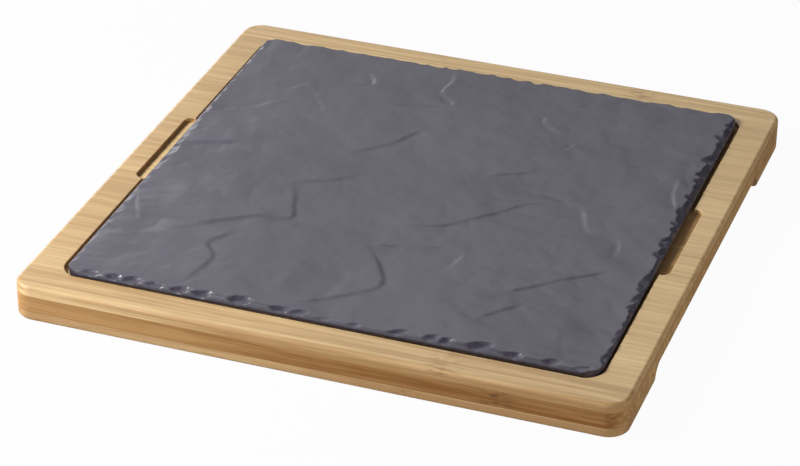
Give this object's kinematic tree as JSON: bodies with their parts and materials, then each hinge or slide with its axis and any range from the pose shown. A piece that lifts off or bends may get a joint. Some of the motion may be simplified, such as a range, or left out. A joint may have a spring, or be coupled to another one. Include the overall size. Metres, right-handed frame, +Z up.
{
  "type": "square steak plate",
  "caption": "Square slate-look ceramic steak plate with chipped edges, lying loose in the recess of a laminated bamboo tray with finger notches and hand grips.",
  "frame": {"origin": "middle of the tray's underside, on the surface that it stands on", "axes": "+Z up; the bamboo strips run along X; the front edge faces -Y"},
  "size_m": [0.285, 0.285, 0.0205],
  "materials": {
    "pale_bamboo": "oiled satin",
    "caramel_bamboo": "oiled satin",
    "slate_ceramic": "satin matt"
  },
  "bodies": {
    "tray": {"base_strip_01": "pale_bamboo", "base_strip_02": "pale_bamboo", "base_strip_03": "pale_bamboo", "base_strip_04": "pale_bamboo", "base_strip_05": "pale_bamboo", "base_strip_06": "pale_bamboo", "base_strip_07": "pale_bamboo", "base_strip_08": "pale_bamboo", "base_strip_09": "pale_bamboo", "base_strip_10": "pale_bamboo", "base_strip_11": "pale_bamboo", "base_strip_12": "pale_bamboo", "base_strip_13": "pale_bamboo", "base_strip_14": "pale_bamboo", "base_strip_15": "pale_bamboo", "core_strip_01": "caramel_bamboo", "core_strip_02": "caramel_bamboo", "core_strip_03": "caramel_bamboo", "core_strip_04": "caramel_bamboo", "core_strip_05": "caramel_bamboo", "core_strip_06": "caramel_bamboo", "core_strip_07": "caramel_bamboo", "core_strip_08": "caramel_bamboo", "core_strip_09": "caramel_bamboo", "core_strip_10": "caramel_bamboo", "core_strip_11": "caramel_bamboo", "core_strip_12": "caramel_bamboo", "core_strip_13": "caramel_bamboo", "core_strip_14": "caramel_bamboo", "floor_sheet": "pale_bamboo", "rim_rail_front": "pale_bamboo", "rim_rail_back": "pale_bamboo", "rim_left_strip_01": "pale_bamboo", "rim_left_strip_02": "pale_bamboo", "rim_left_strip_03": "pale_bamboo", "rim_left_strip_04": "pale_bamboo", "rim_left_strip_05": "pale_bamboo", "rim_left_strip_06": "pale_bamboo", "rim_left_strip_07": "pale_bamboo", "rim_left_strip_08": "pale_bamboo", "rim_left_strip_09": "pale_bamboo", "rim_left_strip_10": "pale_bamboo", "rim_left_strip_11": "pale_bamboo", "rim_left_strip_12": "pale_bamboo", "rim_left_strip_13": "pale_bamboo", "rim_right_strip_01": "pale_bamboo", "rim_right_strip_02": "pale_bamboo", "rim_right_strip_03": "pale_bamboo", "rim_right_strip_04": "pale_bamboo", "rim_right_strip_05": "pale_bamboo", "rim_right_strip_06": "pale_bamboo", "rim_right_strip_07": "pale_bamboo", "rim_right_strip_08": "pale_bamboo", "rim_right_strip_09": "pale_bamboo", "rim_right_strip_10": "pale_bamboo", "rim_right_strip_11": "pale_bamboo", "rim_right_strip_12": "pale_bamboo", "rim_right_strip_13": "pale_bamboo"},
    "plate": {"slate_plate": "slate_ceramic"}
  },
  "joints": [
    {"name": "plate_lift", "type": "slide", "parent": "tray", "child": "plate", "axis": [0, 0, 1], "range_m": [0, 0.04]}
  ]
}
